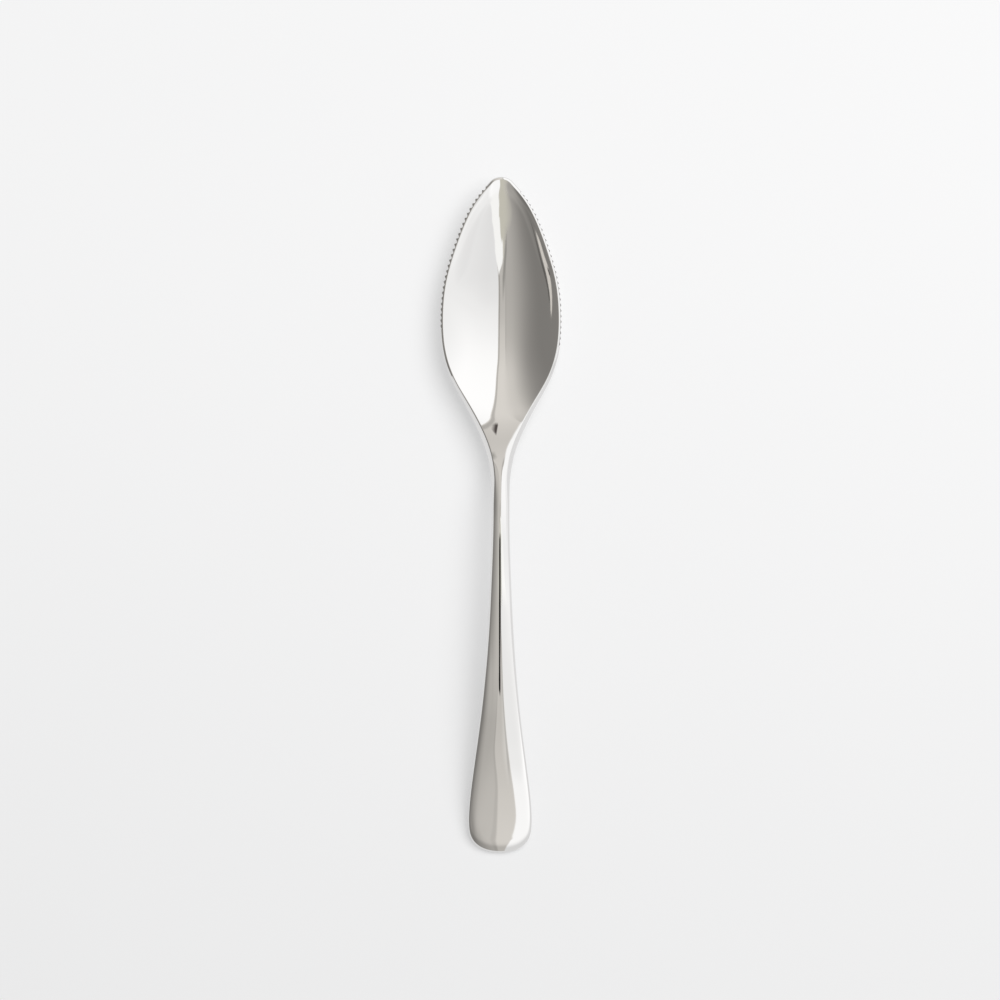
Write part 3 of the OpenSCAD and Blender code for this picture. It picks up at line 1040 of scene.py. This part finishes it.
WHITE_WEDGE = SoftCard(
    "white_wedge", height=120, slope=0.95, slope_from=8.0, tint=Tint.WARM_WHITE, level=1.18,
    rows=(
        (28, -7, -2, 14, 18), (24.5, -6, -1, 20, 24), (21, -3, 2, 26, 30), (18, 0.5, 6, 31, 36),
        (13, 2.5, 8.5, 39, 43), (8, 4.5, 11.5, 49, 54), (0, 8, 15.5, 58, 64), (-6, 10.5, 19, 64, 71),
        (-14, 14, 25, 72, 84), (-24, 16, 28, 84, 110),
    ),
)
WEDGE_END = SoftCard(
    "wedge_end", height=18, tint=Tint.WARM_WHITE, level=1.18,
    rows=(
        (64, -0.6, -0.3, 1.9, 2.4), (63, -0.7, -0.4, 1.8, 2.3), (61.5, -0.7, -0.4, 1.7, 2.1),
        (60.5, -0.7, -0.4, 1.4, 1.7), (59.5, -0.5, -0.2, 1.1, 1.4), (58.8, -0.1, 0.1, 0.9, 1.1),
        (58.2, 0.2, 0.4, 0.7, 0.9), (57.2, 0.4, 0.5, 0.6, 0.8),
    ),
)
HEEL_BAND = SoftCard(
    "heel_band", height=13, tint=Tint.WHITE, level=1.2,
    rows=(
        (25.5, 4.4, 4.8, 10, 12), (24, 4, 4.5, 12, 14), (22.8, 3.7, 4.2, 12, 14), (21.6, 3.2, 3.7, 12, 14),
        (20.2, 2.6, 3.1, 12, 14), (19.2, 2.1, 2.5, 12, 14), (18.2, 1.6, 2, 12, 14), (17.4, 1.3, 1.7, 12, 14),
        (16.5, 1.1, 1.5, 12, 14), (14.7, 1, 1.3, 12, 14), (12.7, 1, 1.3, 10, 12), (10, 1.2, 1.6, 8, 10),
    ),
)
OLIVE_WEDGE = SoftCard(
    "olive_wedge", height=120.7, slope=0.95, slope_from=8.0, tint=Tint.OLIVE, level=0.66,
    rows=(
        (30, -16, -9, -4, 0), (26, -18, -9, 3, 9), (24, -20, -9.5, 4, 10), (18, -27, -9.5, 8, 13),
        (12, -36, -9, 9, 14), (0, -42, -11, 10, 16), (-14, -46, -13, 12, 20), (-26, -48, -13, 12, 20),
    ),
)
TIP_OLIVE = SoftCard(
    "tip_olive", height=18.1, tint=Tint.OLIVE, level=0.66,
    rows=(
        (73, -6.5, -0.8, 0.6, 1.1), (71.2, -6.5, -0.8, 0.6, 1.1), (69, -6, -0.8, 0.6, 1.1),
        (67, -4.8, -0.8, 0.2, 0.6), (63, -3.8, -0.9, -0.3, 0),
    ),
)
THIN_SHADE = SoftCard(
    "thin_shade", height=119.3, tint=Tint.SAND, level=0.35,
    rows=(
        (14, -31, -29, -27, -25), (25, -26, -21.5, -18.5, -13), (30.5, -20, -15.5, -12.5, -7.5),
        (36, -16, -11, -8, -3), (44, -14, -10, -8, -4),
    ),
)
PALE_VEIL = SoftCard(
    "pale_veil", height=43, tint=Tint.WHITE, level=0.955, cover=0.55,
    rows=(
        (45, 20, 28, 55, 90), (41, 24, 32, 70, 110), (33, 34, 42, 90, 140), (24, 40, 50, 100, 160),
        (12, 48, 60, 120, 190), (-6, 60, 75, 140, 220),
    ),
)
LEFT_GLOW = SoftCard(
    "left_glow", height=60, tint=Tint.PALE_SAND, level=1.4, cover=0.1,
    rows=tuple((y, -150, -60, -6, 0) for y in (24, 10, -48, -70)),
)
RIGHT_GLOW = SoftCard(
    "right_glow", height=60.5, tint=Tint.COOL_WHITE, level=2.2, cover=0.075,
    rows=tuple((y, 2, 9, 120, 220) for y in (-2, -20, -86, -108)),
)
RIM_SHADE = SoftCard(
    "rim_shade", height=30, tint=Tint.WARM_SAND, level=0.13,
    rows=(
        (51, -82, -80, -76, -74), (49.4, -81.5, -79, -74.5, -72), (46.7, -76, -74, -69.5, -66.5),
        (44, -74, -72, -63, -60), (42.6, -74, -72, -62, -59), (41.2, -73, -71, -64, -61),
    ),
)
RIM_STREAK = SoftCard(
    "rim_streak", height=30.1, tint=Tint.WARM_SAND, level=0.74,
    rows=(
        (53.8, -99, -96, -91, -88), (52, -99, -96, -87, -84), (49.3, -101, -98, -84, -81), (45, -102, -99, -79, -76),
        (41.5, -105, -101, -78, -75.5), (39, -107, -102, -76, -73.5), (36, -110, -104, -83, -80),
        (33, -114, -110, -95, -92), (31.2, -116, -112, -104, -100),
    ),
)
RIM_FLECK = SoftCard(
    "rim_fleck", height=29.9, tint=Tint.WARM_SAND, level=0.06,
    rows=(
        (38.6, -106, -104, -100, -98), (37.3, -110, -107, -98, -95), (35.5, -113, -110, -101, -98),
        (34, -113, -111, -106, -103),
    ),
)
RIDGE_STRIP = SoftCard(
    "dark_needle", height=43, tint=Tint.PLUM, level=0.012,
    rows=(
        (1, -6.6, -5.4, -0.4, 0.4), (-2, -8.1, -6.9, 0.1, 0.9), (-6, -8.6, -7.4, 0.8, 1.6), (-15, -7, -5.8, 0.8, 1.6),
        (-22, -6.6, -5.4, 0.9, 1.7), (-30, -5.6, -4.4, 0.6, 1.4), (-37, -4.6, -3.4, 0.3, 1.1),
        (-42, -4.2, -3, -0.2, 0.6), (-48, -4, -2.8, 0.2, 1), (-51.4, -3.4, -2.2, 0.2, 1), (-54, -3, -1.8, -0.2, 0.6),
    ),
)
HEEL_STRIP = SoftCard(
    "dark_fleck", height=12, tint=Tint.DARK_PLUM, level=0.1,
    rows=(
        (25.2, -1.3, -0.75, -0.62, -0.38), (24, -2.15, -1.15, -0.77, -0.53), (22.6, -2.4, -1.37, -0.97, -0.73),
        (21.6, -1.9, -1.3, -1.12, -0.88), (20.6, -1.5, -1.3, -1.27, -1.03),
    ),
)


@dataclass(frozen=True)
class Studio:
    """Soft light from the right, pale surroundings, and the cards that the steel mirrors."""

    lamp_power: float = 21.6
    lamp_side: float = 1.2
    lamp_spot: Spot = (0.55, 0.5, 1.36)
    surroundings: float = 0.31
    seen_surroundings: float = 0.9
    tent: LightTent = LightTent()
    cards: tuple[SoftCard, ...] = (
        WHITE_WEDGE, WEDGE_END, HEEL_BAND, OLIVE_WEDGE, TIP_OLIVE, THIN_SHADE, PALE_VEIL, LEFT_GLOW, RIGHT_GLOW,
        RIM_SHADE, RIM_STREAK, RIM_FLECK, RIDGE_STRIP, HEEL_STRIP,
    )

    def _lamp(self) -> Piece:
        """Hangs the soft lamp on the right, aimed at the spoon.

        Returns:
            The lamp.
        """
        data = bpy.data.lights.new("soft_lamp", "AREA")
        data.energy = self.lamp_power
        data.size = self.lamp_side
        lamp = put("soft_lamp", data)
        lamp.location = self.lamp_spot
        lamp.rotation_euler = (-lamp.location).to_track_quat("-Z", "Y").to_euler()
        lamp.visible_glossy = False
        return lamp

    def _world(self) -> None:
        """Fills the room with even pale light."""
        world = bpy.data.worlds.new("pale_room")
        world.use_nodes = True
        world.node_tree.nodes.clear()
        desk = NodeDesk(world.node_tree)
        seen = desk.add("ShaderNodeLightPath").outputs
        shown = desk.calc("MAXIMUM", seen["Is Camera Ray"], seen["Is Glossy Ray"])
        level = desk.blend(shown, self.surroundings, self.seen_surroundings)
        light = desk.add("ShaderNodeBackground", {"Color": (1, 1, 1, 1), "Strength": level})
        desk.add("ShaderNodeOutputWorld", {"Surface": light.outputs["Background"]})
        bpy.context.scene.world = world

    def build(self) -> list[Piece]:
        """Builds the light, the tent and the cards.

        Returns:
            The lamp and the stage objects.
        """
        self._world()
        return [self._lamp(), self.tent.build(), *[card.build() for card in self.cards]]


@dataclass(frozen=True)
class OverheadCamera:
    """The camera straight above the spoon."""

    lens: float = 120.0
    sensor: float = 36.0
    spot: Spot = (-0.00015, 0.0041, 0.8433)
    roll: float = 0.12
    near: float = 0.01
    far: float = 20.0

    def build(self) -> None:
        """Hangs the camera and makes it the scene's own."""
        data = bpy.data.cameras.new("overhead_camera")
        data.lens = self.lens
        data.sensor_width = self.sensor
        data.clip_start = self.near
        data.clip_end = self.far
        camera = put("overhead_camera", data)
        camera.location = self.spot
        camera.rotation_euler = (0.0, 0.0, math.radians(self.roll))
        bpy.context.scene.camera = camera


def corners() -> list[list[float]]:
    """Lowest and highest corner of what is shown, as plain lists."""
    return [list(corner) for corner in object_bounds()]


def main() -> None:
    """Builds the spoon and the studio in order."""
    logging.basicConfig(level=logging.INFO, format="%(name)s: %(message)s", stream=sys.stdout)
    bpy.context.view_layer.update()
    bpy.context.scene.view_settings.view_transform = "Standard"
    OverheadCamera().build()
    table = PaleTable().build()
    LOG.info("%s is laid", table.name)
    spoon = ForgedSpoon().build()
    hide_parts("spoon")
    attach(spoon, "root")
    LOG.info("%s has %d faces", spoon.name, len(spoon.data.polygons))
    for item in Studio().build():
        LOG.info("%s hangs", item.name)


if __name__ == "__main__":
    main()
